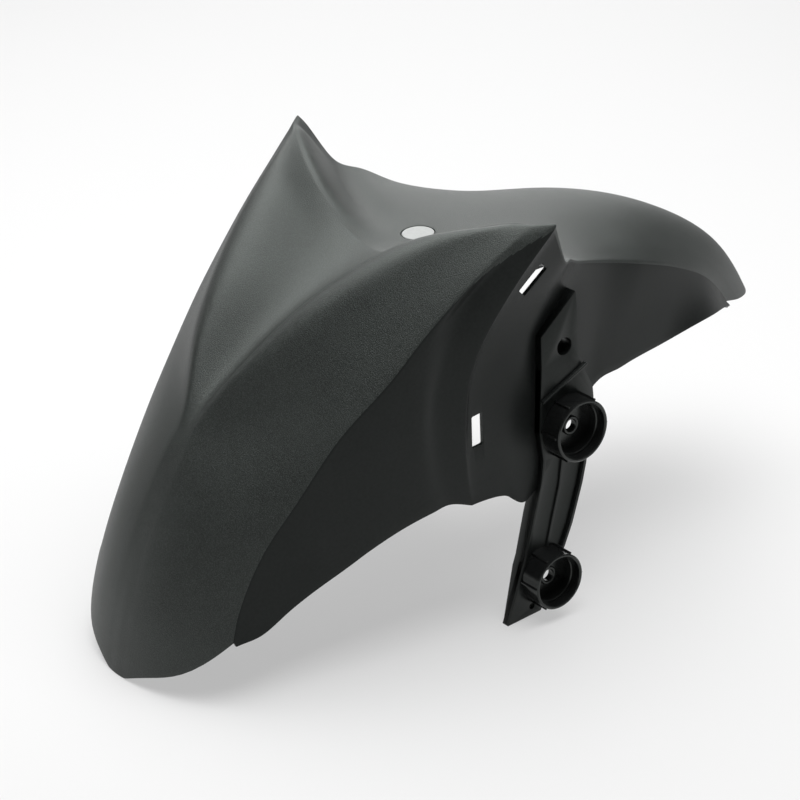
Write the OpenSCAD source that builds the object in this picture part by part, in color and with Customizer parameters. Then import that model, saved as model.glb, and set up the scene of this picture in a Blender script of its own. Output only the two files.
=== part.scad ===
// Front mudguard of a motorcycle: one textured moulding and the plug in its saddle.
// X points forward, Y to the rider's left and Z up. The origin lies on the ground, under
// the middle of the guard, which stands on its front tip and on the feet of its two side
// plates. The shell follows the tyre, so its lines are given about the wheel's axle: an
// angle forward of straight up, a radius and a half width.

/* [Wheel] */
// Distance of the axle behind the side plates' datum
axle_back = 38.6; // [36:0.1:41]
// Depth of the axle below the ground that the part stands on
axle_drop = 33; // [30:0.1:40]
// Radius of the saddle's outer skin over the tyre
saddle_r = 299; // [294:0.5:306]
// Radius of the crown line of the front tongue
crown_r = 335; // [328:0.5:342]
// Radius of the folds along the front tongue
fold_r = 302; // [297:0.5:307]

/* [Front tongue] */
// Angle of the front tip
tip_angle = 84.3; // [82:0.1:86]
// Half width of the tongue at its tip
tip_w = 86; // [80:0.5:92]
// Half width between the folds of the tongue
fold_w = 82; // [76:0.5:88]
// Bulge of the tongue between crown and fold
tongue_bulge = 8; // [5:0.5:10]

/* [Hood and wings] */
// Angle at which the crown splits into two ridges
apex_angle = 47; // [45:0.5:50]
// Angle of the hood's rear edge on the centre line
crest_angle = 21.2; // [20:0.1:23]
// Radius of the hood's rear edge on the centre line
crest_r = 311; // [307:0.5:315]
// Highest radius of the two ridges
ridge_r = 358; // [352:0.5:362]
// Angle of the wing corners
wing_angle = 11.3; // [10:0.1:13]
// Radius of the wing corners
wing_r = 348.6; // [344:0.2:353]
// Half width over the wing corners
wing_w = 144.5; // [140:0.5:148]
// Half width of the lower edge beside the tyre
hem_w = 112; // [110:0.5:114]
// Step down from the hood's rear edge to the saddle
hood_step = 5; // [3:0.5:7]

/* [Saddle and rear tongue] */
// Half width of the saddle between the fork legs
saddle_w = 116; // [113:0.5:118]
// Angle of the rear tip, behind straight up
tail_angle = 54.5; // [52:0.5:57]
// Half width of the rear tip
tail_w = 44; // [38:0.5:50]

/* [Wall] */
// Thickness of the moulding
wall = 3; // [2.4:0.1:3.6]

/* [Side plates] */
// Outer face of each side plate from the centre plane
plate_y = 116; // [115:0.5:118]
// Thickness of the side plates
plate_t = 6; // [5:0.5:7]
// Bore near the head of the plate
head_hole_d = 13; // [10:0.5:14]
// Bore in the foot of the plate
foot_hole_d = 5; // [4:0.5:6]
// Height of the slanted rib over the plate
rail_rise = 3; // [2:0.5:4]
// Thickness of the middle rail and of the slanted rib
rail_t = 2; // [1.6:0.2:2.6]
// Depth of the channel behind the middle rail
channel_depth = 3.5; // [2:0.5:4]
// Depth of the flanges along the edges of the leg
flange_depth = 12; // [9:0.5:14]
// Thickness of those flanges
flange_t = 3; // [2:0.2:4]

/* [Mounting cups] */
// Outer diameter of the upper mounting cup
cup_d = 45.4; // [43:0.2:47]
// Outer diameter of the lower mounting cup
lower_cup_d = 42; // [40:0.2:44]
// Wall of the mounting cups
cup_wall = 2.5; // [2:0.1:3]
// Stand of the cup rims over the plate
cup_rise = 17; // [16:0.5:19]
// Depth of the cups from rim to floor
cup_depth = 14.5; // [13:0.5:15]
// Depth of the wide mouth of a cup
mouth_depth = 7; // [5:0.5:9]
// Bolt bore in the floor of a cup
bolt_d = 8.6; // [8.2:0.2:10.4]
// Number of ribs round a cup
cup_ribs = 6; // [4:1:10]
// Stand of the ribs over the cup wall
cup_rib_rise = 1.4; // [1:0.2:2.4]

/* [Slots] */
// Length of the upper slot
upper_slot_l = 23; // [18:0.5:26]
// Width of the upper slot
upper_slot_w = 10; // [6:0.5:11]
// Lean of the upper slot, rearward
upper_slot_lean = 40; // [36:1:44]
// Length of the lower slot
lower_slot_l = 25; // [20:0.5:28]
// Width of the lower slot
lower_slot_w = 10; // [8:0.5:12]
// Lean of the lower slot, forward
lower_slot_lean = 5; // [2:1:8]

/* [Plug] */
// Diameter of the plug's head
plug_d = 23; // [20:0.5:25]
// Gap round the plug's head
plug_gap = 0.8; // [0.5:0.1:1.2]
// Bore for the plug's shank
plug_bore_d = 18; // [15:0.5:19]

/* [Hidden] */
$fn = 48;

// Lines of the shell, centre to lower edge: spine, ridge, fold, corner, bend, hem.
// Each station holds one [angle, radius, half width] for every line.
function between(a, b, t) = a + (b - a) * t;
function skirt(fold, hem) = [between(fold, hem, 0.10), between(fold, hem, 0.5)];
function front_station(spine, ridge, fold, hem) =
    concat([spine, ridge, fold], skirt(fold, hem), [hem]);

front = [
    front_station([tip_angle, crown_r + 1, 0], [tip_angle - 0.1, crown_r + 0.5, 12],
                  [76.4, fold_r + 0.5, tip_w - 1.5], [76.9, fold_r - 0.5, tip_w - 0.8]),
    front_station([76, crown_r + 1, 0], [76, crown_r + 0.5, 12],
                  [70.5, fold_r + 1, fold_w - 1], [73.4, 283.3, 87]),
    front_station([67, crown_r, 0], [67, crown_r, 12],
                  [63, fold_r - 1, fold_w + 1], [69.2, 266, 90]),
    front_station([58, crown_r, 0], [58, crown_r, 12],
                  [54.4, fold_r - 3, fold_w + 9], [62.5, 241.8, 96]),
    front_station([apex_angle, crown_r, 0], [apex_angle, crown_r + 1, 13],
                  [45.4, fold_r, fold_w + 16], [57.2, 229.5, 102]),
    front_station([40, crown_r - 12, 0], [41.3, crown_r + 8, 30],
                  [36.5, fold_r + 5, fold_w + 27], [51.7, 217.1, 107]),
    front_station([31, crest_r + 5, 0], [33, ridge_r - 8, 53],
                  [28.8, fold_r + 16, fold_w + 33], [46.3, 204.5, 111]),
    [[25.5, crest_r + 1, 0], [21.5, ridge_r - 1, 90], [20, fold_r + 32, 124.5],
     [22, fold_r + 20, 119], [31.5, 276, 113], [42.7, 194.5, 111]],
    [[crest_angle, crest_r, 0], [15.2, wing_r + 2.5, 118], [13.6, wing_r + 1, 131.5],
     [wing_angle, wing_r, wing_w], [26.3, 277, 121.5], [39.6, 177.7, hem_w]]
];

rear = [
    [[16, saddle_r + 4, 0], [8.8, saddle_r + 11, saddle_w + 13], [14.5, 272, 114],
     [32, 160, hem_w + 0.5]],
    [[11, saddle_r, 0], [5.8, saddle_r + 1, saddle_w], [10.5, 262, 108.5], [26.6, 140.5, hem_w]],
    [[3, saddle_r - 4, 0], [1.6, saddle_r - 12.5, saddle_w - 15.5], [4, 256, 104],
     [10, 160, hem_w - 2]],
    [[-6, saddle_r - 6, 0], [-6, saddle_r - 23.5, saddle_w - 28], [-4, 240, 94], [-2, 190, 101]],
    [[-17, saddle_r - 1, 0], [-15, saddle_r - 28.5, 83], [-13, 232, 88], [-12, 197, 94]],
    [[-30, saddle_r + 4, 0], [-25, saddle_r - 30, 73], [-25, 241, 78.5], [-25, 214, 84]],
    [[-43, saddle_r + 9, 0], [-35, saddle_r - 29, 60], [-35.5, 257, 67], [-36, 244, 76]],
    [[-tail_angle, saddle_r + 6, 0], [-46, saddle_r - 30, tail_w],
     [-46.2, saddle_r - 30.5, tail_w + 2], [-46.5, saddle_r - 31, tail_w + 3.5]]
];

crest_station = len(front) - 1;
step_station = crest_station + 1;
last_station = step_station + len(rear);

// How far out the ridge, the fold and the corner lie on a rear section's crown
crown_share = [0, 0.82, 0.92, 1];
function ease(t) = t * t * (3 - 2 * t);
function arch(t) = 4 * t * (1 - t);

// Bulge of the face between ridge and fold, along the front stations
bulge = [tongue_bulge, tongue_bulge, tongue_bulge, tongue_bulge * 0.75, 4, 1, -1, -2, 0];

// Degrees by which the lower edges of the front and the rear tip round out
tip_round = 1.8;
tail_round = 1.6;
function swell(t) = 6 * t * t * (1 - t);

function front_section(k, v) = let (s = front[k])
    v <= 1 ? let (r = between(s[0][1], s[1][1], ease(v)))
        [between(s[0][0], s[1][0], v * v), r, between(s[0][2], s[1][2], v)]
    : let (i = min(floor(v), 4), t = v - i, p = between(s[i], s[i + 1], t))
        i == 1 ? p + [k == 0 ? swell(t) * tip_round : 0, bulge[k] * arch(t), 0] : p;

function rear_section(k, v) = let (s = rear[k])
    v <= 3 ? let (i = min(floor(v), 2), t = between(crown_share[i], crown_share[i + 1], v - i))
        [between(s[0][0], s[1][0], t * t) - (k == len(rear) - 1 ? swell(t) * tail_round : 0),
         between(s[0][1], s[1][1], t * t), s[1][2] * t]
    : let (i = min(floor(v), 4)) between(s[i - 2], s[i - 1], v - i);

// Step behind the hood's rear edge, line by line
step = [[-1.6, -hood_step, 0], [-1.5, -hood_step, -1], [-1.2, -hood_step - 1, -3],
        [-0.9, -hood_step - 3, -5], [-1.6, -1, -4], [-2, -4.7, -0.3]];
function step_section(v) = let (i = min(floor(v), 4))
    front_section(crest_station, v) + between(step[i], step[i + 1], v - i);

function section(k, v) =
    v < 0 ? let (p = section(k, -v)) [p[0], p[1], -p[2]]
    : k <= crest_station ? front_section(k, min(v, 5))
    : k == step_station ? step_section(min(v, 5))
    : rear_section(k - step_station - 1, min(v, 5));

// Half width, in line numbers, over which a section is rounded at each line
soften = [0.1, 0.28, 0.16, 0.22, 0.3, 0];
function soft_section(k, v) =
    let (i = min(floor(v), 4), d = between(soften[i], soften[i + 1], v - i))
    (section(k, v - d) + 2 * section(k, v - d / 2) + 2 * section(k, v)
     + 2 * section(k, v + d / 2) + section(k, v + d)) / 8;

across = [0, 0.2, 0.4, 0.6, 0.75, 0.88, 1, 1.12, 1.3, 1.55, 1.8, 1.93, 2, 2.1, 2.4, 2.8, 3,
          3.2, 3.5, 3.8, 4, 4.2, 4.6, 5];
curves = [for (k = [0:last_station]) [for (v = across) soft_section(k, v)]];

// Smooth run through the stations, with a crease at the hood's rear edge
function spline(a, b, c, d, t) =
    b + (c - a) * t / 2 + (2 * a - 5 * b + 4 * c - d) * t * t / 2
    + (3 * b - 3 * c + d - a) * t * t * t / 2;
function run(j, u) =
    let (k = min(floor(u), last_station - 1), t = u - k,
         b = curves[k][j], c = curves[k + 1][j],
         a = (k == 0 || k == crest_station) ? 2 * b - c : curves[k - 1][j],
         d = (k + 1 == last_station || k + 1 == crest_station) ? 2 * c - b : curves[k + 2][j])
    spline(a, b, c, d, t);

// Half length, in stations, over which the crest is rounded
edge_round = 0.05;
function rounded_run(j, u) =
    abs(u - crest_station) >= edge_round ? run(j, u)
    : (run(j, u - edge_round) + 2 * run(j, u - edge_round / 2) + 2 * run(j, u)
       + 2 * run(j, u + edge_round / 2) + run(j, u + edge_round)) / 8;

along = concat([for (i = [0:23]) i / 3], [7.85, 7.95, 8, 8.08, 8.3, 8.6, 9, 9.15, 9.35, 9.6],
               [for (i = [0:21]) 10 + i / 3]);

function place(p) = [p[1] * sin(p[0]) - axle_back, p[2], p[1] * cos(p[0]) - axle_drop];
half_skin = [for (u = along) [for (j = [0:len(across) - 1]) place(rounded_run(j, u))]];

// The origin lies under the middle of the guard's length
lengthwise = [for (r = half_skin) for (p = r) p[0]];
middle_x = (max(lengthwise) + min(lengthwise)) / 2;
module centred() translate([-middle_x, 0, 0]) children();

rows = len(along);
cols = 2 * len(across) - 1;
middle = len(across) - 1;
function mirrored(p) = [p[0], -p[1], p[2]];
function outer(i, c) = c >= middle ? half_skin[i][c - middle] : mirrored(half_skin[i][middle - c]);
function unit(v) = v / norm(v);
function inward(i, c) =
    let (a = outer(min(i + 1, rows - 1), c) - outer(max(i - 1, 0), c),
         b = outer(i, min(c + 1, cols - 1)) - outer(i, max(c - 1, 0)))
    unit(cross(a, b));

module shell() {
    skin = [for (i = [0:rows - 1]) for (c = [0:cols - 1]) outer(i, c)];
    lining = [for (i = [0:rows - 1]) for (c = [0:cols - 1]) outer(i, c) + inward(i, c) * wall];
    n = rows * cols;
    function at(i, c) = i * cols + c;
    top = [for (i = [0:rows - 2]) for (c = [0:cols - 2])
        each [[at(i, c), at(i + 1, c + 1), at(i, c + 1)], [at(i, c), at(i + 1, c), at(i + 1, c + 1)]]];
    under = [for (f = top) [f[0] + n, f[2] + n, f[1] + n]];
    rim = concat([for (c = [0:cols - 1]) at(0, c)],
                 [for (i = [1:rows - 1]) at(i, cols - 1)],
                 [for (c = [1:cols - 1]) at(rows - 1, cols - 1 - c)],
                 [for (i = [1:rows - 2]) at(rows - 1 - i, 0)]);
    edge = [for (e = [0:len(rim) - 1]) let (p = rim[e], q = rim[(e + 1) % len(rim)])
        each [[p, q, q + n], [p, q + n, p + n]]];
    polyhedron(points = concat(skin, lining), faces = concat(top, under, edge), convexity = 8);
}

// Seat of the plug on the saddle's spine: station, point and lean of its axis
plug_station = 10.5;
plug_point = place(rounded_run(0, plug_station));
plug_step = place(rounded_run(0, plug_station + 0.2)) - place(rounded_run(0, plug_station - 0.2));
plug_lean = atan2(-plug_step[2], plug_step[0]) + 180;
// Head of the plug: thickness, chamfer and web under it
head_t = 1.6;
head_chamfer = 0.4;
head_web = 0.6;
// Collar under the saddle round the plug's shank
collar_wall = 5;
collar_h = wall + 2;
collar_gap = 0.4;
// Hollow shank: gap in the collar, wall, length past the collar and the bead that holds it
shank_gap = 0.2;
shank_wall = 1.6;
shank_past = 2;
bead = 0.6;

module at_plug() translate(plug_point) rotate([0, plug_lean, 0]) children();

module plug_seat_collar()
    at_plug() translate([0, 0, -collar_h]) cylinder(d = plug_bore_d + 2 * collar_wall,
                                                  h = collar_h - head_t - collar_gap);
module plug_seat_cut() at_plug() {
    translate([0, 0, -head_t]) cylinder(d = plug_d + 2 * plug_gap, h = head_t + collar_h);
    translate([0, 0, -2 * collar_h]) cylinder(d = plug_bore_d, h = 2 * collar_h);
}

module blanking_plug() color("#c9cccf") centred() at_plug() rotate_extrude($fn = 64) {
    shank_r = plug_bore_d / 2 - shank_gap;
    polygon([
        [0, 0], [plug_d / 2 - head_chamfer, 0], [plug_d / 2, -head_chamfer], [plug_d / 2, -head_t],
        [shank_r, -head_t], [shank_r, -collar_h - shank_gap],
        [shank_r + bead, -collar_h - shank_gap - bead], [shank_r, -collar_h - shank_past],
        [shank_r - shank_wall, -collar_h - shank_past],
        [shank_r - shank_wall, -head_t - head_web], [0, -head_t - head_web]
    ]);
}

// Edges of a side plate from foot to head, as [forward, height]
leg_front = [[43.5, 0], [28, 48], [21.5, 80], [15.5, 103], [14, 121]];
head_front = [[17.7, 142], [17.7, 190], [19, 215]];
leg_rear = [[13, 2.5], [-8.5, 47.8], [-15, 63.7], [-23.3, 92.7], [-26.3, 107.5]];
head_rear = [[-31.1, 157.4], [-29.8, 166.4], [-17.2, 188.8], [-14.5, 212], [-11.1, 241.5]];
middle_rail = [[9.2, 47.6], [3.1, 75.4], [-2, 97.3], [-4.5, 120]];
slant_rib = [[17, 167], [-21, 185.6]];
// Above this line the plate is backed by the pad that joins it to the shell
pad_line = [[30, 92], [-42, 166], [-42, 260], [40, 260], [40, 92]];
pad_t = 10;
pad_overlap = 1;
upper_cup = [-6.8, 143.6];
lower_cup = [10.5, 31.6];
cups = [[upper_cup, cup_d], [lower_cup, lower_cup_d]];
head_hole = [-2.3, 203.1];
foot_hole = [21.4, 8.8];
// Boss round a bolt bore, step under the mouth, floor, and wall beside the core behind it
boss_d = 14;
boss_rise = 2;
mouth_step = 1.8;
floor_t = 3;
core_inset = 6;
// Shallow pocket in front of the middle rail, and the lip round both pockets
pocket_depth = 1.8;
lip = 2.5;
// Height over which the flanges grow from the foot, their top, and reach of the cuts
flange_run = 40;
flange_top = 123;
through = 30;
clear = 1;

function turned(l) = [for (i = [1:len(l)]) l[len(l) - i]];
function shifted(l, dx) = [for (p = l) p + [dx, 0]];

// Slab and post along the width, from their outer face inward, drawn in the side view
module slab(face, depth) translate([0, face, 0]) rotate([90, 0, 0]) linear_extrude(depth) children();
module post(at, face, d, depth) translate([at[0], face, at[1]]) rotate([90, 0, 0])
    cylinder(d = d, h = depth);

module plate_outline() polygon(concat(leg_front, head_front, turned(concat(leg_rear, head_rear))));
module band(line, dx) polygon(concat(line, shifted(turned(line), dx)));
module bar(a, b, t) {
    n = t / 2 * [a[1] - b[1], b[0] - a[0]] / norm(b - a);
    polygon([a - n, b - n, b + n, a + n]);
    for (end = [a, b]) translate(end) circle(d = t, $fn = 24);
}

module cup_body(at, d) {
    post(at, plate_y + cup_rise, d, cup_rise + plate_t);
    for (i = [0:cup_ribs - 1]) translate([at[0], plate_y - plate_t / 2, at[1]])
        rotate([0, 360 / cup_ribs * i, 0]) translate([d / 2 - cup_wall / 2, 0, -rail_t / 2])
            cube([cup_wall / 2 + cup_rib_rise, cup_rise + plate_t / 2 - mouth_step, rail_t]);
}

module cup_cut(at, d) {
    rim = plate_y + cup_rise;
    post(at, rim + clear, d - 2 * cup_wall, mouth_depth + clear);
    difference() {
        post(at, rim + clear, d - 2 * cup_wall - 2 * mouth_step, cup_depth + clear);
        post(at, rim - cup_depth + boss_rise, boss_d, boss_rise + clear);
    }
    post(at, rim - cup_depth - floor_t, d - 2 * core_inset, through);
    post(at, rim + clear, bolt_d, cup_rise + through);
}

// Pockets beside the middle rail: a shallow one in front and the deep channel behind it
module leg_pockets() {
    in_front = [for (i = [1:len(leg_front) - 1]) leg_front[i]];
    behind = [for (i = [1:len(leg_rear) - 1]) leg_rear[i]];
    slab(plate_y + clear, clear + pocket_depth)
        polygon(concat(shifted(in_front, -lip), shifted(turned(middle_rail), rail_t / 2)));
    slab(plate_y + clear, clear + channel_depth)
        polygon(concat(shifted(middle_rail, -rail_t / 2), shifted(turned(behind), lip)));
}

// Flanges behind both edges of the leg, growing in depth from the foot upward
module leg_flanges() intersection() {
    slab(plate_y - pad_overlap, flange_depth) {
        band(leg_front, -flange_t);
        band(leg_rear, flange_t);
    }
    rotate([90, 0, 90]) linear_extrude(flange_top, center = true) polygon([
        [plate_y, -clear], [plate_y, flange_top], [plate_y - flange_depth, flange_top],
        [plate_y - flange_depth, flange_run], [plate_y - plate_t, 0], [plate_y - plate_t, -clear]
    ]);
}

module side_plate() {
    difference() {
        slab(plate_y, plate_t) plate_outline();
        leg_pockets();
    }
    slab(plate_y - pad_overlap, pad_t - pad_overlap) intersection() {
        plate_outline();
        polygon(pad_line);
    }
    leg_flanges();
    slab(plate_y + rail_rise, rail_rise + pad_overlap) bar(slant_rib[0], slant_rib[1], rail_t);
    for (c = cups) cup_body(c[0], c[1]);
}

module plate_cuts() {
    for (c = cups) cup_cut(c[0], c[1]);
    post(head_hole, plate_y + clear, head_hole_d, through);
    post(foot_hole, plate_y + clear, foot_hole_d, through);
}

// Slots in the recessed panel: centre in the side view, and the widths between which they cut
upper_slot = [38.8, 266.4];
lower_slot = [72.9, 160.8];
slot_outer = 150;
slot_inner = 106;
module slot(at, l, w, lean) translate([at[0], slot_outer, at[1]]) rotate([0, lean, 0])
    rotate([90, 0, 0]) linear_extrude(slot_outer - slot_inner) square([w, l], center = true);

module both_sides() {
    children();
    mirror([0, 1, 0]) children();
}

module mudguard() color("#2b2d2d") centred() difference() {
    union() {
        shell();
        plug_seat_collar();
        both_sides() side_plate();
    }
    plug_seat_cut();
    both_sides() {
        plate_cuts();
        slot(upper_slot, upper_slot_l, upper_slot_w, -upper_slot_lean);
        slot(lower_slot, lower_slot_l, lower_slot_w, lower_slot_lean);
    }
}

mudguard();
blanking_plug();
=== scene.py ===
import math

import bmesh
import bpy
import numpy as np
from mathutils import Matrix, Vector


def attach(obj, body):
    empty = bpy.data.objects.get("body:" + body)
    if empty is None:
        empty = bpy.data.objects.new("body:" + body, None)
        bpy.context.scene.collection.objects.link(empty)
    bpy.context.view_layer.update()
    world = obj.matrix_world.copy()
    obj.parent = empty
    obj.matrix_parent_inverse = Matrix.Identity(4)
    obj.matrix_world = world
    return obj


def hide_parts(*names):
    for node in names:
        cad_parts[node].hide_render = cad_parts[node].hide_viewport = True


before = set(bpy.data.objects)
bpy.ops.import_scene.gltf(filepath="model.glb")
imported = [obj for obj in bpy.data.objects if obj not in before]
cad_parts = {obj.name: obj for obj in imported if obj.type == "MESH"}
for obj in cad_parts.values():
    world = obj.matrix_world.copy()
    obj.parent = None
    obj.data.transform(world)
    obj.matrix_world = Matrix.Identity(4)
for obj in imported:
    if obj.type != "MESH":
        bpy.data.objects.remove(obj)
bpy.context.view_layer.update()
scene = bpy.context.scene
MM = 0.001

# ---------------------------------------------------------------- sizes (mm, degrees)
# The shell, measured about the wheel's axle; MIDDLE_X puts the guard's middle at x = 0
AXLE_BACK, AXLE_DROP, MIDDLE_X = 38.6, 33.0, 4.449
SADDLE_R, CROWN_R, FOLD_R = 299.0, 335.0, 302.0
TIP_ANGLE, TIP_W, RIDGE_W, FOLD_W, TONGUE_BULGE = 84.3, 86.0, 12, 82.0, 8.0
APEX_ANGLE, CREST_ANGLE, CREST_R, RIDGE_R = 52.0, 21.2, 311.0, 358.0
WING_ANGLE, WING_R, WING_W, HEM_W, HOOD_STEP = 11.3, 348.6, 144.5, 112.0, 5.0
SADDLE_W, TAIL_ANGLE, TAIL_W, WALL = 116.0, 54.5, 44.0, 3.0
CORNER_SHARE, BEND_SHARE = 0.10, 0.5
# The side plates and their cups
PLATE_Y, PLATE_T, PAD_T = 116.0, 6.0, 10.0
RAIL_RISE, RAIL_T, CHANNEL_DEPTH, POCKET_DEPTH, LIP = 3.0, 2.0, 3.5, 1.8, 2.5
FLANGE_DEPTH, FLANGE_T, FLANGE_RUN = 12.0, 3.0, 40.0
CUP_D, LOWER_CUP_D, CUP_WALL, CUP_RISE, CUP_DEPTH = 45.4, 42.0, 2.5, 17.0, 14.5
MOUTH_DEPTH, MOUTH_STEP, CUP_CHAMFER = 7.0, 1.8, 0.7
BOLT_D, BOSS_D, BOSS_RISE, CORE_INSET, FLOOR_T = 8.6, 14.0, 2.0, 6.0, 3.0
CUP_RIBS, CUP_RIB_RISE, FIN_ROOT, FIN_TIP = 6, 1.4, 0.8, 0.65
HEAD_HOLE_D, FOOT_HOLE_D = 13.0, 5.0
CUPS = [([-6.8, 143.6], CUP_D), ([10.5, 31.6], LOWER_CUP_D)]
HEAD_HOLE, FOOT_HOLE = [-2.3, 203.1], [21.4, 8.8]
CORE_Y = PLATE_Y + CUP_RISE - CUP_DEPTH - FLOOR_T
# The slots: middle in the side view, length, width, lean, and where the cut starts
SLOTS = [([38.8, 266.4], 23, 10, -40, 106), ([72.9, 160.8], 25, 10, 5, 100)]
SLOT_CORNER_R = 1.2
# The plug's seat and the collar under it
PLUG_D, PLUG_GAP, PLUG_BORE_D, HEAD_T, PLUG_STATION = 23.0, 0.8, 18.0, 1.6, 10.5
SEAT_BELOW, SEAT_ABOVE, COLLAR_W, COLLAR_TOP, COLLAR_LOW = 12, 6, 5, 2.2, 5.0
# Half widths where the cutters start and end
HEAD_CUT_Y, CORE_CUT_Y, SLOT_CUT_Y, PLATE_CUT_Y = (87, 117), 85, 150, (90, 130)
SHELL_BEVEL, PLATE_BEVEL, RIB_BEVEL, FIN_BEVEL = 0.7, 0.95, 0.5, 0.35


# ---------------------------------------------------------------- the shell's lines
def between(a, b, t):
    return a + (b - a) * t


def front_station(spine, ridge, fold, hem):
    spine, ridge, fold, hem = (np.array(p, float) for p in (spine, ridge, fold, hem))
    return [spine, ridge, fold, between(fold, hem, CORNER_SHARE), between(fold, hem, BEND_SHARE),
            hem]


def station(*points):
    return [np.array(p, float) for p in points]


# Each point is [angle, radius, half width]. Lines 0 to 5 run from the spine over the ridge,
# fold, corner and bend to the hem. FRONT goes from the tip to the crest.
FRONT = [
    front_station([TIP_ANGLE, CROWN_R + 1, 0], [TIP_ANGLE - 0.1, CROWN_R + 0.5, RIDGE_W],
                  [74.7, FOLD_R + 1.5, TIP_W - 3.2], [75.2, FOLD_R - 0.5, TIP_W - 2.2]),
    front_station([76, CROWN_R + 1, 0], [76, CROWN_R + 0.5, RIDGE_W],
                  [70.5, FOLD_R + 1, FOLD_W - 1], [73.4, 283.3, 87]),
    front_station([67, CROWN_R, 0], [67, CROWN_R, RIDGE_W],
                  [63, FOLD_R - 1, FOLD_W + 1], [69.2, 266, 90]),
    front_station([58, CROWN_R, 0], [58, CROWN_R, RIDGE_W],
                  [54.4, FOLD_R - 3, FOLD_W + 9], [62.5, 241.8, 96]),
    front_station([APEX_ANGLE, CROWN_R, 0], [APEX_ANGLE - 0.3, CROWN_R + 2, RIDGE_W],
                  [45.4, FOLD_R, FOLD_W + 16], [57.2, 229.5, 102]),
    front_station([44, CROWN_R - 8.5, 0], [43.5, CROWN_R + 12, 33],
                  [36.5, FOLD_R + 5, FOLD_W + 27], [51.7, 217.1, 107]),
    front_station([33.5, CREST_R + 7, 0], [34.3, RIDGE_R - 3.5, 55.5],
                  [28.8, FOLD_R + 16, FOLD_W + 33], [46.3, 204.5, 111]),
    station([26, CREST_R + 1.5, 0], [22.3, RIDGE_R + 1, 88.5], [20, FOLD_R + 32, 124.5],
            [22, FOLD_R + 20, 119], [31.5, 276, 113], [42.7, 194.5, 111]),
    station([CREST_ANGLE, CREST_R, 0], [15.2, WING_R + 2.5, 118], [13.6, WING_R + 1, 131.5],
            [WING_ANGLE, WING_R, WING_W], [26.3, 277, 121.5], [39.6, 177.7, HEM_W]),
]
# What the step behind the crest adds to the crest's own points
STEP = station([-1.8, -HOOD_STEP + 1, 0], [-1.5, -HOOD_STEP, -1], [-0.8, -HOOD_STEP - 1, -3],
               [-0.5, -HOOD_STEP - 3, -5], [-1.6, -1, -4], [-2, -4.7, -0.3])
# The rear stations have four points: spine, edge of the saddle, bend and hem
REAR = [
    station([16, SADDLE_R + 4, 0], [8.8, SADDLE_R + 11, SADDLE_W + 13], [14.5, 272, 114],
            [32, 160, HEM_W + 0.5]),
    station([11, SADDLE_R, 0], [5.8, SADDLE_R + 1, SADDLE_W], [10.5, 262, 108.5],
            [26.6, 140.5, HEM_W]),
    station([3, SADDLE_R - 4, 0], [1.6, SADDLE_R - 12.5, SADDLE_W - 15.5], [4, 256, 104],
            [10, 160, HEM_W - 2]),
    station([-6, SADDLE_R - 6, 0], [-6, SADDLE_R - 23.5, SADDLE_W - 28], [-4, 240, 94],
            [-2, 190, 101]),
    station([-17, SADDLE_R - 1, 0], [-15, SADDLE_R - 28.5, 83], [-13, 232, 88], [-12, 197, 94]),
    station([-30, SADDLE_R + 4, 0], [-25, SADDLE_R - 30, 73], [-25, 241, 78.5], [-25, 214, 84]),
    station([-43, SADDLE_R + 9, 0], [-35, SADDLE_R - 29, 60], [-35.5, 257, 67], [-36, 244, 76]),
    station([-TAIL_ANGLE, SADDLE_R + 6, 0], [-46, SADDLE_R - 30, TAIL_W],
            [-46.2, SADDLE_R - 30.5, TAIL_W + 2], [-46.5, SADDLE_R - 31, TAIL_W + 3.5]),
]
CREST = len(FRONT) - 1
STEP_STATION = CREST + 1
LAST = STEP_STATION + len(REAR)
CROWN_SHARE = [0, 0.82, 0.92, 1]
BULGE = [TONGUE_BULGE, TONGUE_BULGE, TONGUE_BULGE, TONGUE_BULGE * 0.75, 4, 1, -1, -2, 0]
TIP_ROUND, TAIL_ROUND = 2.9, 1.6
# How far round each line, and round the crest, the shape is blurred
SOFTEN = [0.12, 0.42, 0.22, 0.26, 0.36, 0]
EDGE_ROUND = 0.14
BLUR = [(i / 8, 1 + math.cos(math.pi * i / 9)) for i in range(-8, 9)]


def ease(t):
    """0 to 1, level at both ends."""
    return t * t * (3 - 2 * t)


def arch(t):
    """Up to 1 in the middle and back to 0."""
    return 4 * t * (1 - t)


def swell(t):
    """Like arch, but fullest at two thirds and level at the start."""
    return 6 * t * t * (1 - t)


def front_section(k, v):
    s = FRONT[k]
    if v <= 1:
        return np.array([between(s[0][0], s[1][0], v * v), between(s[0][1], s[1][1], ease(v)),
                         between(s[0][2], s[1][2], v)])
    i = min(int(v), 4)
    t = v - i
    p = between(s[i], s[i + 1], t)
    if i == 1:
        p = p + np.array([swell(t) * TIP_ROUND if k == 0 else 0, BULGE[k] * arch(t), 0])
    return p


def rear_section(k, v):
    s = REAR[k]
    if v <= 3:
        i = min(int(v), 2)
        t = between(CROWN_SHARE[i], CROWN_SHARE[i + 1], v - i)
        round_out = swell(t) * TAIL_ROUND if k == len(REAR) - 1 else 0
        return np.array([between(s[0][0], s[1][0], t * t) - round_out,
                         between(s[0][1], s[1][1], t * t), s[1][2] * t])
    i = min(int(v), 4)
    return between(s[i - 2], s[i - 1], v - i)


def section(k, v):
    """Point of station k at line v; a negative v is the other side."""
    if v < 0:
        p = section(k, -v)
        return np.array([p[0], p[1], -p[2]])
    v = min(v, 5)
    if k <= CREST:
        return front_section(k, v)
    if k == STEP_STATION:
        i = min(int(v), 4)
        return front_section(CREST, v) + between(STEP[i], STEP[i + 1], v - i)
    return rear_section(k - STEP_STATION - 1, v)


def blurred(line, spot, reach):
    """Mean of a line round a place on it, so that its kinks become soft bends."""
    return sum(w * line(spot + x * reach) for x, w in BLUR) / sum(w for x, w in BLUR)


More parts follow.
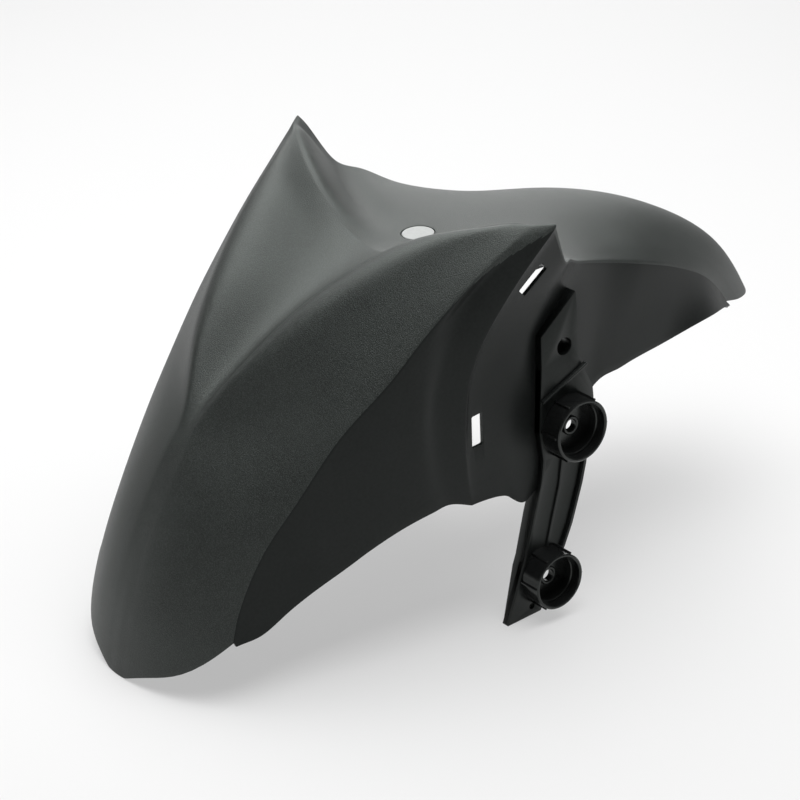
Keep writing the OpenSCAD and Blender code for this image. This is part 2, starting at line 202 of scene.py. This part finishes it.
def soft_section(k, v):
    i = min(int(v), 4)
    return blurred(lambda spot: section(k, spot), v, between(SOFTEN[i], SOFTEN[i + 1], v - i))


def dense(knots, n):
    """Each gap between knots cut into n equal steps."""
    out = [knots[0]]
    for a, b in zip(knots, knots[1:]):
        out += [a + (b - a) * (i + 1) / n for i in range(n)]
    return out


ACROSS = dense([0, 0.2, 0.4, 0.6, 0.75, 0.88, 1, 1.12, 1.3, 1.55, 1.8, 1.93, 2, 2.1, 2.4, 2.8, 3,
                3.2, 3.5, 3.8, 4, 4.2, 4.6, 5], 3)
ALONG = dense([i / 3 for i in range(24)] + [7.85, 7.95, 8, 8.08, 8.2, 8.6, 9, 9.15, 9.35, 9.6]
              + [10 + i / 3 for i in range(22)], 4)
CURVES = np.array([[soft_section(k, v) for v in ACROSS] for k in range(LAST + 1)])


def run(u):
    """The section at station u, on a smooth curve through the stations that breaks at the crest."""
    k = min(int(u), LAST - 1)
    t = u - k
    b, c = CURVES[k], CURVES[k + 1]
    a = 2 * b - c if k in (0, CREST) else CURVES[k - 1]
    d = 2 * c - b if k + 1 in (LAST, CREST) else CURVES[k + 2]
    return (b + (c - a) * t / 2 + (2 * a - 5 * b + 4 * c - d) * t * t / 2
            + (3 * b - 3 * c + d - a) * t * t * t / 2)


def rounded_run(u):
    return run(u) if abs(u - CREST) >= EDGE_ROUND else blurred(run, u, EDGE_ROUND)


def place(p):
    """Polar [angle, radius, half width] about the axle to a point, in metres."""
    a = np.radians(p[..., 0])
    return np.stack([p[..., 1] * np.sin(a) - AXLE_BACK - MIDDLE_X, p[..., 2],
                     p[..., 1] * np.cos(a) - AXLE_DROP], -1) * MM


# ---------------------------------------------------------------- mesh helpers
def new_object(name, verts, faces):
    mesh = bpy.data.meshes.new(name)
    mesh.from_pydata([tuple(v) for v in verts], [], faces)
    mesh.update()
    obj = bpy.data.objects.new(name, mesh)
    scene.collection.objects.link(obj)
    return obj


def normals_out(obj):
    bm = bmesh.new()
    bm.from_mesh(obj.data)
    bmesh.ops.recalc_face_normals(bm, faces=bm.faces)
    bm.to_mesh(obj.data)
    bm.free()


def apply_modifiers(obj):
    dg = bpy.context.evaluated_depsgraph_get()
    mesh = bpy.data.meshes.new_from_object(obj.evaluated_get(dg))
    obj.modifiers.clear()
    old = obj.data
    obj.data = mesh
    bpy.data.meshes.remove(old)


def cut(obj, cutters):
    """Takes the cutters away from obj, exactly, and removes them."""
    for c in cutters:
        m = obj.modifiers.new("cut", "BOOLEAN")
        m.operation = "DIFFERENCE"
        m.solver = "EXACT"
        m.object = c
    bpy.context.view_layer.update()
    apply_modifiers(obj)
    for c in cutters:
        bpy.data.objects.remove(c)


def bevel(obj, width, segments=2, angle=40):
    m = obj.modifiers.new("bevel", "BEVEL")
    m.width = width * MM
    m.segments = segments
    m.limit_method = "ANGLE"
    m.angle_limit = math.radians(angle)
    m.harden_normals = False
    bpy.context.view_layer.update()
    apply_modifiers(obj)


def smooth(obj, angle=32):
    obj.data.polygons.foreach_set("use_smooth", [True] * len(obj.data.polygons))
    obj.data.set_sharp_from_angle(angle=math.radians(angle))


def to_part(p, y):
    """Side-view point [forward, height] of the side plates at half width y, in metres."""
    return Vector(((p[0] - MIDDLE_X) * MM, y * MM, p[1] * MM))


def prism(name, outline, y0, y1):
    """Closed prism with an outline in the side view, from half width y0 to y1."""
    n = len(outline)
    verts = [to_part(p, y0) for p in outline] + [to_part(p, y1) for p in outline]
    faces = [tuple(range(n)), tuple(range(2 * n - 1, n - 1, -1))]
    faces += [(i, (i + 1) % n, n + (i + 1) % n, n + i) for i in range(n)]
    obj = new_object(name, verts, faces)
    normals_out(obj)
    return obj


def circle(middle, r, n=64):
    return [[middle[0] + r * math.cos(2 * math.pi * i / n),
             middle[1] + r * math.sin(2 * math.pi * i / n)] for i in range(n)]


def lathe(name, profile, frame_matrix, n=96):
    """Closed ring of a profile [radius, height] turned about the local Z axis."""
    verts, faces, m = [], [], len(profile)
    for i in range(n):
        a = 2 * math.pi * i / n
        for r, h in profile:
            local = Vector((r * MM * math.cos(a), r * MM * math.sin(a), h * MM))
            verts.append(frame_matrix @ local)
    for i in range(n):
        for j in range(m):
            a, b = i * m, ((i + 1) % n) * m
            faces.append((a + j, b + j, b + (j + 1) % m, a + (j + 1) % m))
    obj = new_object(name, verts, faces)
    bm = bmesh.new()
    bm.from_mesh(obj.data)
    bmesh.ops.remove_doubles(bm, verts=bm.verts, dist=1e-7)
    bmesh.ops.dissolve_degenerate(bm, edges=bm.edges, dist=1e-8)
    bmesh.ops.recalc_face_normals(bm, faces=bm.faces)
    bm.to_mesh(obj.data)
    bm.free()
    return obj


def join(name, objects):
    """One object of all the meshes, each with its own material slots kept."""
    with bpy.context.temp_override(active_object=objects[0], selected_editable_objects=objects,
                                   selected_objects=objects):
        bpy.ops.object.join()
    objects[0].name = name
    return objects[0]


def mirror_copy(obj, name):
    other = obj.copy()
    other.data = obj.data.copy()
    other.name = name
    scene.collection.objects.link(other)
    other.data.transform(Matrix.Diagonal((1, -1, 1, 1)))
    other.data.flip_normals()
    return other


# ---------------------------------------------------------------- materials
def nodes_of(name):
    mat = bpy.data.materials.new(name)
    mat.use_nodes = True
    tree = mat.node_tree
    tree.nodes.clear()
    out = tree.nodes.new("ShaderNodeOutputMaterial")
    shader = tree.nodes.new("ShaderNodeBsdfPrincipled")
    tree.links.new(shader.outputs[0], out.inputs[0])
    return mat, tree, shader


def noise(tree, coords, scale, detail=2.0, rough=0.5):
    n = tree.nodes.new("ShaderNodeTexNoise")
    n.inputs["Scale"].default_value = scale
    n.inputs["Detail"].default_value = detail
    n.inputs["Roughness"].default_value = rough
    tree.links.new(coords, n.inputs["Vector"])
    return n.outputs["Fac"]


def ramp(tree, value, low, high, a, b):
    m = tree.nodes.new("ShaderNodeMapRange")
    m.inputs["From Min"].default_value = low
    m.inputs["From Max"].default_value = high
    m.inputs["To Min"].default_value = a
    m.inputs["To Max"].default_value = b
    tree.links.new(value, m.inputs["Value"])
    return m.outputs["Result"]


def math_node(tree, kind, a, b):
    m = tree.nodes.new("ShaderNodeMath")
    m.operation = kind
    for value, socket in zip((a, b), m.inputs):
        if isinstance(value, float):
            socket.default_value = value
        else:
            tree.links.new(value, socket)
    return m.outputs[0]


SPECULAR_TINT = (0.93, 1, 0.955, 1)
DRIFT_SCALE, DRIFT_DETAIL = 22, 3
SPECK_DETAIL, SPECK_ROUGH = 2, 0.6
NOISE_LOW, NOISE_HIGH = 0.3, 0.7


def plastic(name, dark, light, rough, grain, depth, spread=0.05, specular=0.5,
            specks=(NOISE_LOW, NOISE_HIGH, 0.55)):
    """Moulded plastic: a fine grain in height, colour and roughness, and a faint drift.

    grain is the noise's scale per metre, depth its height in millimetres, and specks says
    between which levels of the grain the colour turns, and the grain's share of it.
    """
    mat, tree, shader = nodes_of(name)
    coords = tree.nodes.new("ShaderNodeTexCoord").outputs["Object"]
    drift = noise(tree, coords, DRIFT_SCALE, DRIFT_DETAIL)
    speck = noise(tree, coords, grain, SPECK_DETAIL, SPECK_ROUGH)
    mix = tree.nodes.new("ShaderNodeMix")
    mix.data_type = "RGBA"
    mix.inputs["A"].default_value = (*dark, 1)
    mix.inputs["B"].default_value = (*light, 1)
    both = tree.nodes.new("ShaderNodeMath")
    both.operation = "ADD"
    both.use_clamp = True
    low, high, share = specks
    tree.links.new(ramp(tree, drift, NOISE_LOW, NOISE_HIGH, 0, 1 - share), both.inputs[0])
    tree.links.new(ramp(tree, speck, low, high, 0, share), both.inputs[1])
    tree.links.new(both.outputs[0], mix.inputs["Factor"])
    tree.links.new(mix.outputs["Result"], shader.inputs["Base Color"])
    tree.links.new(ramp(tree, speck, NOISE_LOW, NOISE_HIGH, rough - spread, rough + spread),
                   shader.inputs["Roughness"])
    shader.inputs["Specular IOR Level"].default_value = specular
    shader.inputs["Specular Tint"].default_value = SPECULAR_TINT
    bump = tree.nodes.new("ShaderNodeBump")
    bump.inputs["Strength"].default_value = 1.0
    bump.inputs["Distance"].default_value = depth * MM
    tree.links.new(speck, bump.inputs["Height"])
    tree.links.new(bump.outputs["Normal"], shader.inputs["Normal"])
    return mat


grained = plastic("grained_shell", (0.006, 0.0068, 0.0064), (0.042, 0.048, 0.045), rough=0.46,
                  grain=1450, depth=0.3, spread=0.08, specular=0.56, specks=(0.42, 0.68, 0.8))
# The satin copy is painted shade: the shell plastic made darker and less shiny, with a finer grain,
# for the faces that lie in shadow
satin_shade_copy = plastic("plastic_painted_shade", (0.009, 0.010, 0.0098), (0.017, 0.0185, 0.018), rough=0.46,
                grain=420, depth=0.012, spread=0.03, specular=0.21)
plates = plastic("smooth_plates", (0.007, 0.008, 0.0078), (0.013, 0.0145, 0.014), rough=0.33,
                 grain=300, depth=0.01, spread=0.03, specular=0.28)
glossy = plastic("glossy_cups", (0.007, 0.0075, 0.0075), (0.012, 0.0125, 0.0125), rough=0.22,
                 grain=260, depth=0.008, spread=0.03, specular=0.42)
plug_mat = plastic("plug_silver", (0.25, 0.256, 0.252), (0.34, 0.347, 0.342), rough=0.34,
                   grain=500, depth=0.012, spread=0.04)

# ---------------------------------------------------------------- shell
half = np.array([place(rounded_run(u)) for u in ALONG])
mirror = half[:, 1:, :][:, ::-1, :] * np.array([1, -1, 1])
skin = np.concatenate([mirror, half], axis=1)
rows, cols = skin.shape[:2]
along_step = np.empty_like(skin)
along_step[1:-1] = skin[2:] - skin[:-2]
along_step[0] = skin[1] - skin[0]
along_step[-1] = skin[-1] - skin[-2]
across_step = np.empty_like(skin)
across_step[:, 1:-1] = skin[:, 2:] - skin[:, :-2]
across_step[:, 0] = skin[:, 1] - skin[:, 0]
across_step[:, -1] = skin[:, -1] - skin[:, -2]
inward = np.cross(along_step, across_step)
inward /= np.linalg.norm(inward, axis=-1, keepdims=True)
lining = skin + inward * WALL * MM
verts = np.concatenate([skin.reshape(-1, 3), lining.reshape(-1, 3)])
n = rows * cols


def at(i, c):
    return i * cols + c


# Below the fold, and behind the wing's edge, the faces take the satin shade copy (1) instead of
# grained (0): painted shade, a darker and less shiny copy of the shell plastic for the sides that
# lie in shadow
SHADE_COPY_LINE, SHADE_COPY_LINE_AT_WING, SHADE_COPY_TURN = 2.1, 3.0, (6.6, 8.0)
faces, kinds = [], []
V_FULL = ACROSS[:0:-1] + ACROSS
for i in range(rows - 1):
    for c in range(cols - 1):
        faces.append((at(i, c), at(i + 1, c), at(i + 1, c + 1), at(i, c + 1)))
        u, v = (ALONG[i] + ALONG[i + 1]) / 2, (V_FULL[c] + V_FULL[c + 1]) / 2
        turn = min(max((u - SHADE_COPY_TURN[0]) / (SHADE_COPY_TURN[1] - SHADE_COPY_TURN[0]), 0), 1)
        kinds.append(1 if v > between(SHADE_COPY_LINE, SHADE_COPY_LINE_AT_WING, ease(turn)) else 0)
for f in list(faces):
    faces.append(tuple(n + x for x in reversed(f)))
kinds += kinds
rim = ([at(0, c) for c in range(cols)] + [at(i, cols - 1) for i in range(1, rows)]
       + [at(rows - 1, c) for c in range(cols - 2, -1, -1)]
       + [at(i, 0) for i in range(rows - 2, 0, -1)])
for e, p in enumerate(rim):
    q = rim[(e + 1) % len(rim)]
    faces.append((p, q, n + q, n + p))
    kinds.append(0)
shell = new_object("guard_shell", verts, faces)
for m in (grained, satin_shade_copy):
    shell.data.materials.append(m)
shell.data.polygons.foreach_set("material_index", kinds)
normals_out(shell)


# ---------------------------------------------------------------- slots and plug seat
def spine(u):
    return place(rounded_run(u))[0]


plug_point = Vector(spine(PLUG_STATION))
lean = spine(PLUG_STATION + 0.2) - spine(PLUG_STATION - 0.2)
plug_axis = Vector((-lean[2], 0, lean[0]))
if plug_axis.z < 0:
    plug_axis.negate()
plug_frame = Matrix.Translation(plug_point) @ Vector((0, 0, 1)).rotation_difference(
    plug_axis.normalized()).to_matrix().to_4x4()


def turned_slot(spot, l, w, lean_deg):
    """Outline of a slot with small corner radii, leaning rearward for a negative angle."""
    out, r = [], SLOT_CORNER_R
    for sx, sy, a0 in ((1, 1, 0), (-1, 1, 90), (-1, -1, 180), (1, -1, 270)):
        for i in range(5):
            a = math.radians(a0 + 22.5 * i)
            out.append([sx * (w / 2 - r) + r * math.cos(a), sy * (l / 2 - r) + r * math.sin(a)])
    c, s = math.cos(math.radians(lean_deg)), math.sin(math.radians(lean_deg))
    return [[spot[0] + x * c + z * s, spot[1] - x * s + z * c] for x, z in out]


cutters = []
for side in (1, -1):
    cutters.append(prism("cut_head", circle(HEAD_HOLE, HEAD_HOLE_D / 2, 48),
                         side * HEAD_CUT_Y[0], side * HEAD_CUT_Y[1]))
    for spot, d in CUPS:
        cutters.append(prism("cut_core", circle(spot, d / 2 - CORE_INSET), side * CORE_CUT_Y,
                             side * CORE_Y))
    for spot, length, width, tilt, inner_y in SLOTS:
        cutters.append(prism("cut_slot", turned_slot(spot, length, width, tilt), side * inner_y,
                             side * SLOT_CUT_Y))
bore_r, seat_r = PLUG_BORE_D / 2, PLUG_D / 2 + PLUG_GAP
cutters.append(lathe("cut_seat", [[0, -SEAT_BELOW], [bore_r, -SEAT_BELOW], [bore_r, -HEAD_T],
                                  [seat_r, -HEAD_T], [seat_r, SEAT_ABOVE], [0, SEAT_ABOVE]],
                     plug_frame))
cut(shell, cutters)
bevel(shell, SHELL_BEVEL, angle=55)
smooth(shell, angle=40)

collar = lathe("plug_collar", [[bore_r, -COLLAR_LOW], [bore_r + COLLAR_W, -COLLAR_LOW],
                               [bore_r + COLLAR_W, -COLLAR_TOP], [bore_r, -COLLAR_TOP]], plug_frame)
# The collar takes the same darker copy, painted shade
collar.data.materials.append(satin_shade_copy)
smooth(collar)

# ---------------------------------------------------------------- side plates
PLATE_FRONT = [[43.5, 0], [28, 48], [21.5, 80], [15.5, 103], [14, 121], [17.7, 142], [17.7, 190],
               [19, 215]]
PLATE_REAR = [[13, 2.5], [-8.5, 47.8], [-15, 63.7], [-23.3, 92.7], [-26.3, 107.5], [-31.1, 157.4],
              [-29.8, 166.4], [-17.2, 188.8], [-14.5, 212], [-11.1, 241.5]]
PAD = PLATE_FRONT[:3:-1] + [[15.1, 107.2], [-30.8, 154.5]] + PLATE_REAR[6:]
CHANNEL_TOP = [-27.5, 120]
MIDDLE_RAIL = [[9.2, 47.6], [3.1, 75.4], [-2, 97.3], [-4.5, 120]]
SLANT_RIB = [[17, 167], [-21, 185.6]]


def rounded_strip(a, b, t, n=8):
    a, b = np.array(a, float), np.array(b, float)
    d = (b - a) / np.linalg.norm(b - a)
    base = math.atan2(d[1], d[0])
    out = []
    for end, start in ((b, base - math.pi / 2), (a, base + math.pi / 2)):
        for i in range(n + 1):
            w = start + math.pi * i / n
            out.append([end[0] + t / 2 * math.cos(w), end[1] + t / 2 * math.sin(w)])
    return out


def y_frame(spot):
    """Local frame with its Z along +Y, at a side-view point."""
    return Matrix.Translation(to_part(spot, 0)) @ Matrix.Rotation(math.radians(-90), 4, "X")


def flange(line, dx):
    """Flange behind an edge of the leg, which grows in depth from the foot upward."""
    (x0, z0), (x1, z1) = line[:2]
    bend = [between(x0, x1, (FLANGE_RUN - z0) / (z1 - z0)), FLANGE_RUN]
    verts, faces = [], []
    for x, z in [line[0], bend] + line[1:]:
        y = PLATE_Y - PLATE_T - (FLANGE_DEPTH - PLATE_T) * min(z / FLANGE_RUN, 1)
        verts += [to_part([x, z], y), to_part([x, z], PLATE_Y - 1),
                  to_part([x + dx, z], PLATE_Y - 1), to_part([x + dx, z], y)]
    last = len(verts) - 4
    for i in range(0, last, 4):
        faces += [(i + j, i + (j + 1) % 4, i + 4 + (j + 1) % 4, i + 4 + j) for j in range(4)]
    faces += [(0, 1, 2, 3), (last + 3, last + 2, last + 1, last)]
    obj = new_object("flange", verts, faces)
    normals_out(obj)
    return obj


def side_plate():
    """The left plate: slab, pad, flanges, rib and the two cups with their fins."""
    parts = []
    plate = prism("plate", PLATE_FRONT + PLATE_REAR[::-1], PLATE_Y - PLATE_T, PLATE_Y)
    pad = prism("pad", PAD, PLATE_Y - PAD_T, PLATE_Y - 1)
    front_pocket = ([[p[0] - LIP, p[1]] for p in PLATE_FRONT[1:5]]
                    + [[p[0] + RAIL_T / 2, p[1]] for p in MIDDLE_RAIL[::-1]])
    rear_pocket = ([[p[0] - RAIL_T / 2, p[1]] for p in MIDDLE_RAIL]
                   + [[p[0] + LIP, p[1]] for p in [CHANNEL_TOP] + PLATE_REAR[4:0:-1]])
    cut(plate, [prism("c", front_pocket, PLATE_Y - POCKET_DEPTH, PLATE_Y + 1),
                prism("c", rear_pocket, PLATE_Y - CHANNEL_DEPTH, PLATE_Y + 1)])
    flanges = [flange(PLATE_FRONT[:5], -FLANGE_T), flange(PLATE_REAR[:5], FLANGE_T)]
    for slab in [plate, pad] + flanges:
        tools = [prism("c", circle(HEAD_HOLE, HEAD_HOLE_D / 2, 48), *PLATE_CUT_Y)]
        for spot, d in CUPS:
            tools.append(prism("c", circle(spot, d / 2 - CORE_INSET), *PLATE_CUT_Y))
        if slab is plate:
            tools.append(prism("c", circle(FOOT_HOLE, FOOT_HOLE_D / 2, 32), *PLATE_CUT_Y))
        cut(slab, tools)
        bevel(slab, PLATE_BEVEL, angle=35)
        slab.data.materials.append(plates)
        smooth(slab, angle=35)
        parts.append(slab)
    rib = prism("rib", rounded_strip(*SLANT_RIB, RAIL_T), PLATE_Y - 1, PLATE_Y + RAIL_RISE)
    bevel(rib, RIB_BEVEL, angle=60)
    rib.data.materials.append(plates)
    smooth(rib)
    parts.append(rib)
    for spot, d in CUPS:
        r, rim_y = d / 2, PLATE_Y + CUP_RISE
        floor_y = rim_y - CUP_DEPTH
        e = CUP_CHAMFER
        profile = [
            [BOLT_D / 2, floor_y - FLOOR_T], [BOLT_D / 2, floor_y + BOSS_RISE - e],
            [BOLT_D / 2 + e, floor_y + BOSS_RISE], [BOSS_D / 2 - e, floor_y + BOSS_RISE],
            [BOSS_D / 2, floor_y + BOSS_RISE - e], [BOSS_D / 2, floor_y],
            [r - CUP_WALL - MOUTH_STEP, floor_y],
            [r - CUP_WALL - MOUTH_STEP, rim_y - MOUTH_DEPTH - e],
            [r - CUP_WALL - MOUTH_STEP + e, rim_y - MOUTH_DEPTH],
            [r - CUP_WALL, rim_y - MOUTH_DEPTH], [r - CUP_WALL, rim_y - e],
            [r - CUP_WALL + e, rim_y], [r - e, rim_y], [r, rim_y - e],
            [r, PLATE_Y - PLATE_T], [r - CORE_INSET, PLATE_Y - PLATE_T],
            [r - CORE_INSET, floor_y - FLOOR_T],
        ]
        cup = lathe("cup", profile, y_frame(spot))
        cup.data.materials.append(glossy)
        smooth(cup, angle=30)
        parts.append(cup)
        for i in range(CUP_RIBS):
            a = math.radians(360 / CUP_RIBS * i)
            c, s = math.cos(a), math.sin(a)
            outline = []
            for rr, tt in ((r - CUP_WALL / 2, -FIN_ROOT), (r + CUP_RIB_RISE, -FIN_TIP),
                           (r + CUP_RIB_RISE, FIN_TIP), (r - CUP_WALL / 2, FIN_ROOT)):
                outline.append([spot[0] + rr * c - tt * s, spot[1] - rr * s - tt * c])
            fin = prism("fin", outline, PLATE_Y - PLATE_T / 2, rim_y - MOUTH_STEP)
            bevel(fin, FIN_BEVEL)
            fin.data.materials.append(glossy)
            smooth(fin)
            parts.append(fin)
    return join("guard_side_left", parts)


left = side_plate()
right = mirror_copy(left, "guard_side_right")

for piece in (shell, collar, left, right):
    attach(piece, "root")
    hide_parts("mudguard")

# ---------------------------------------------------------------- plug
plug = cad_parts["blanking_plug"]
plug.data.materials.clear()
plug.data.materials.append(plug_mat)

# ---------------------------------------------------------------- floor, light, camera
FLOOR_SIZE, FLOOR_GREY, FLOOR_GLOW = 60, 0.34, 0.46
WALL_LIGHT, CEILING_LIGHT, WALL_ENDS, CEILING_STARTS = 0.3, 0.07, 0.03, 0.4
LAMPS = [  # name, place, target, size and power, in metres and watts
    ("top_box", (-0.05, -0.1, 1.85), (-0.05, -0.1, 0), (2.2, 2.2), 66),
    ("back_box", (-1.45, -1.56, 0.9), (0, 0, 0.2), (1.15, 1.3), 8.5),
    ("far_box", (-0.1, -1.8, 1.55), (0, 0, 0.2), (1.9, 1.1), 12),
]
CAMERA_AZIMUTH, CAMERA_ELEVATION = math.radians(51.71), math.radians(24.73)
CAMERA_DISTANCE, SENSOR, LENS = 1.8535, 36, 116.8
AIM_X, AIM_Z = 0.049, 0.13545

# The floor is pale by its own colour and by a glow that only the camera and reflections see
bpy.ops.mesh.primitive_plane_add(size=FLOOR_SIZE, location=(0, 0, 0))
floor = bpy.context.object
floor.name = "floor"
mat = bpy.data.materials.new("floor_pale")
mat.use_nodes = True
tree = mat.node_tree
tree.nodes.clear()
out = tree.nodes.new("ShaderNodeOutputMaterial")
diffuse = tree.nodes.new("ShaderNodeBsdfDiffuse")
diffuse.inputs["Color"].default_value = (FLOOR_GREY, FLOOR_GREY, FLOOR_GREY, 1)
glow = tree.nodes.new("ShaderNodeEmission")
path = tree.nodes.new("ShaderNodeLightPath")
seen = math_node(tree, "MAXIMUM", path.outputs["Is Camera Ray"], path.outputs["Is Glossy Ray"])
seen = math_node(tree, "MAXIMUM", seen, path.outputs["Is Transmission Ray"])
tree.links.new(math_node(tree, "MULTIPLY", seen, FLOOR_GLOW), glow.inputs["Strength"])
both = tree.nodes.new("ShaderNodeAddShader")
tree.links.new(diffuse.outputs[0], both.inputs[0])
tree.links.new(glow.outputs[0], both.inputs[1])
tree.links.new(both.outputs[0], out.inputs[0])
floor.data.materials.append(mat)

# The world is paler round the horizon, like the wall of a studio, and dim overhead
world = bpy.data.worlds.new("studio")
scene.world = world
world.use_nodes = True
tree = world.node_tree
tree.nodes.clear()
out = tree.nodes.new("ShaderNodeOutputWorld")
bg = tree.nodes.new("ShaderNodeBackground")
bg.inputs["Color"].default_value = (1, 1, 1, 1)
height = tree.nodes.new("ShaderNodeSeparateXYZ")
tree.links.new(tree.nodes.new("ShaderNodeTexCoord").outputs["Generated"], height.inputs[0])
tree.links.new(ramp(tree, height.outputs["Z"], WALL_ENDS, CEILING_STARTS, WALL_LIGHT,
                    CEILING_LIGHT), bg.inputs["Strength"])
tree.links.new(bg.outputs[0], out.inputs[0])


def area(name, location, target, size, power):
    data = bpy.data.lights.new(name, "AREA")
    data.shape = "RECTANGLE"
    data.size, data.size_y = size
    data.energy = power
    obj = bpy.data.objects.new(name, data)
    obj.location = location
    obj.rotation_mode = "QUATERNION"
    obj.rotation_quaternion = (Vector(location) - Vector(target)).to_track_quat("Z", "Y")
    scene.collection.objects.link(obj)


for lamp in LAMPS:
    area(*lamp)

target = Vector((AIM_X - MIDDLE_X * MM, 0, AIM_Z))
back = Vector((math.cos(CAMERA_AZIMUTH) * math.cos(CAMERA_ELEVATION),
               math.sin(CAMERA_AZIMUTH) * math.cos(CAMERA_ELEVATION), math.sin(CAMERA_ELEVATION)))
cam_data = bpy.data.cameras.new("camera")
cam_data.sensor_width = SENSOR
cam_data.lens = LENS
camera = bpy.data.objects.new("camera", cam_data)
camera.location = target + back * CAMERA_DISTANCE
camera.rotation_mode = "QUATERNION"
camera.rotation_quaternion = back.to_track_quat("Z", "Y")
scene.collection.objects.link(camera)
scene.camera = camera
scene.view_settings.view_transform = "Standard"
